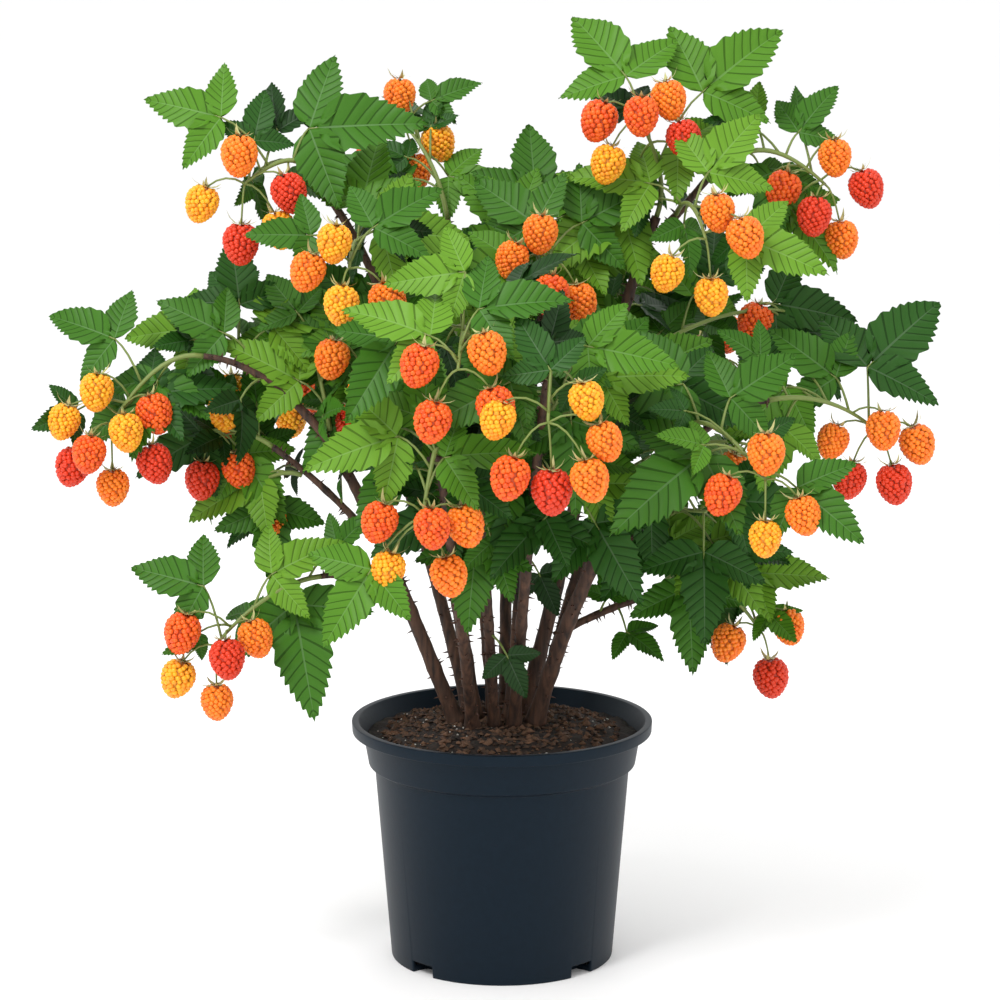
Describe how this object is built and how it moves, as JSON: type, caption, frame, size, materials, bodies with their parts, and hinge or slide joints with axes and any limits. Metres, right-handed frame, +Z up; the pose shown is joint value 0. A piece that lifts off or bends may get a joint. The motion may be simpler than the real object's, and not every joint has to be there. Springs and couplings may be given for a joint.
{
  "type": "potted salmonberry",
  "caption": "Round tapered nursery pot of potting mix with a bushy, arching fruit shrub: leaning canes, toothed three-part leaves and hanging clusters of ripening berries.",
  "frame": {"origin": "on the pot's axis at the floor, the centre of its flat underside", "axes": "+Z up along the pot's axis, -Y towards the viewer who sees the plant's front, +X to that viewer's right"},
  "size_m": [0.5847, 0.4848, 0.6205],
  "materials": {
    "pot_plastic": "satin dark blue-grey",
    "potting_mix": "rough, dark brown and damp",
    "cane_bark": "rough red-brown bark with fine prickles",
    "leafy_shoot": "soft satin green leaf"
  },
  "bodies": {
    "root": {"pot": "pot_plastic", "potting_mix": "potting_mix", "cane_left": "cane_bark", "cane_front_left": "cane_bark", "cane_top_left": "cane_bark", "cane_front": "cane_bark", "cane_inner": "cane_bark", "cane_middle": "cane_bark", "cane_tall": "cane_bark", "cane_front_right": "cane_bark", "cane_right": "cane_bark", "cane_back_left": "cane_bark", "cane_back": "cane_bark", "cane_back_right": "cane_bark", "arch_left": "cane_bark", "arch_low": "cane_bark", "low_left": "cane_bark", "tall_right": "cane_bark", "right_out": "cane_bark", "right_up": "cane_bark", "low_right": "cane_bark", "shoot_left_end": "leafy_shoot", "shoot_top_left": "leafy_shoot", "shoot_top_right": "leafy_shoot", "shoot_right_top_end": "leafy_shoot", "shoot_right_end": "leafy_shoot", "shoot_low_left_end": "leafy_shoot", "shoot_low_right_end": "leafy_shoot", "shoot_centre": "leafy_shoot", "shoot_centre_right": "leafy_shoot", "shoot_centre_low": "leafy_shoot", "shoot_right_mid": "leafy_shoot", "shoot_left_inner": "leafy_shoot", "shoot_top_left_low": "leafy_shoot", "shoot_top_mid_left": "leafy_shoot", "shoot_mid_upper": "leafy_shoot", "shoot_right_upper": "leafy_shoot", "shoot_left_up": "leafy_shoot", "shoot_left_mid": "leafy_shoot", "shoot_left_low": "leafy_shoot", "shoot_inner_left": "leafy_shoot", "shoot_top_mid": "leafy_shoot", "shoot_right_far_up": "leafy_shoot", "shoot_right_inner": "leafy_shoot", "shoot_right_low": "leafy_shoot", "shoot_low_right_leaves": "leafy_shoot", "shoot_low_centre": "leafy_shoot", "shoot_mid_front": "leafy_shoot", "shoot_mid_low": "leafy_shoot", "shoot_mid_left": "leafy_shoot", "shoot_inner_high": "leafy_shoot", "shoot_left_back": "leafy_shoot", "shoot_back_left": "leafy_shoot", "shoot_back_left_top": "leafy_shoot", "shoot_back": "leafy_shoot", "shoot_back_top": "leafy_shoot", "shoot_back_low": "leafy_shoot", "shoot_back_right": "leafy_shoot", "shoot_back_right_top": "leafy_shoot", "shoot_right_back": "leafy_shoot"}
  },
  "joints": []
}
